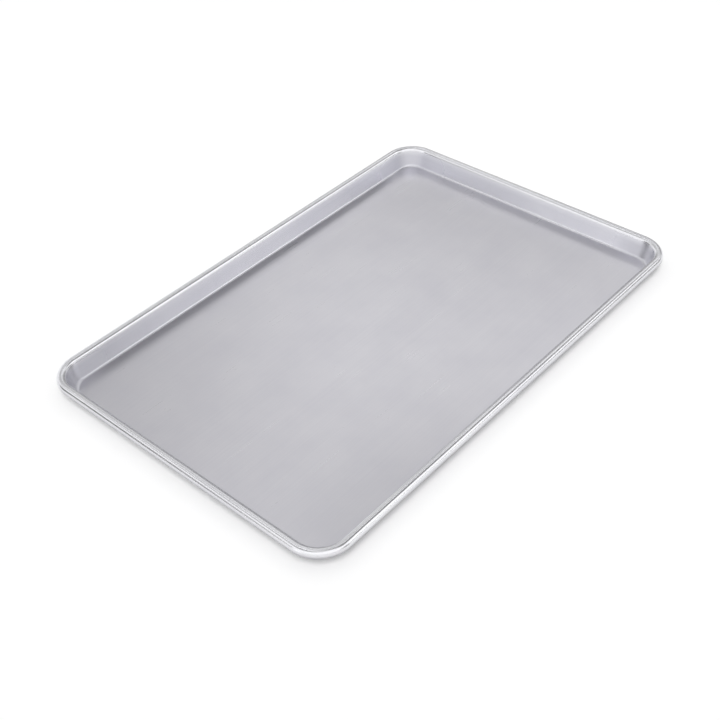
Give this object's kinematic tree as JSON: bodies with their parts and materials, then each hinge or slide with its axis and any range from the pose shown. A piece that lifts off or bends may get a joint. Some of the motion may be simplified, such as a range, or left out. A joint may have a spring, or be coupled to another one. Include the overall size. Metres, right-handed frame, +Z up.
{
  "type": "jelly roll pan",
  "caption": "Shallow rectangular aluminium baking tray with round corners, leaning walls and a rolled rim over a steel wire, for sheet cakes and sponge rolls.",
  "frame": {"origin": "under the middle of the floor, on the surface that the pan stands on", "axes": "+X along the long side, +Y along the short side, +Z up out of the pan"},
  "size_m": [0.6, 0.4, 0.025],
  "materials": {
    "pan_sheet": "satin, as rolled and drawn, uncoated",
    "rim_wire": "drawn wire, zinc coated"
  },
  "bodies": {
    "root": {"pan": "pan_sheet", "rim_wire": "rim_wire"}
  },
  "joints": []
}
